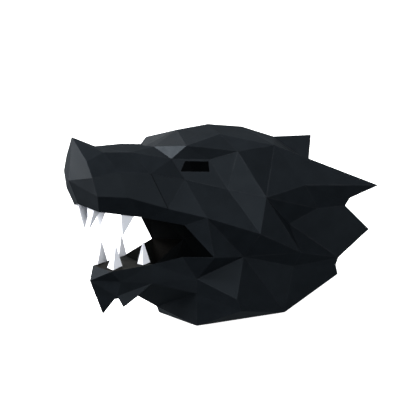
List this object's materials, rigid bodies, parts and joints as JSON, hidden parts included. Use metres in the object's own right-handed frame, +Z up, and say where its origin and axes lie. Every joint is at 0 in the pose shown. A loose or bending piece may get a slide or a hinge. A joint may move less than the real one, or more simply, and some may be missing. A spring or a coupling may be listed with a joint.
{
  "type": "paper wolf mask",
  "caption": "Open-jawed wolf's head mask folded from flat facets of black card, hollow for the wearer's head, with pointed teeth of white card.",
  "frame": {"origin": "on the table, under the middle of the mask as it stands on the rim of its neck", "axes": "+Z up, +X towards the wolf's left, +Y towards the back of the head, so the nose points to -Y"},
  "size_m": [0.243, 0.409, 0.277],
  "materials": {
    "black_card": "matte",
    "white_card": "matte"
  },
  "bodies": {
    "root": {"nose": "black_card", "muzzle": "black_card", "forehead": "black_card", "brow_left": "black_card", "brow_right": "black_card", "crown": "black_card", "temple_left": "black_card", "temple_right": "black_card", "cheek_left": "black_card", "cheek_right": "black_card", "ear_left": "black_card", "ear_right": "black_card", "nape": "black_card", "mane_left": "black_card", "mane_right": "black_card", "neck_left": "black_card", "neck_right": "black_card", "lower_jaw": "black_card", "mouth_floor": "black_card", "tooth_upper_front_left": "white_card", "tooth_upper_front_right": "white_card", "tooth_upper_back_left": "white_card", "tooth_upper_back_right": "white_card", "tooth_lower_front_left": "white_card", "tooth_lower_front_right": "white_card", "tooth_lower_back_left": "white_card", "tooth_lower_back_right": "white_card"}
  },
  "joints": []
}
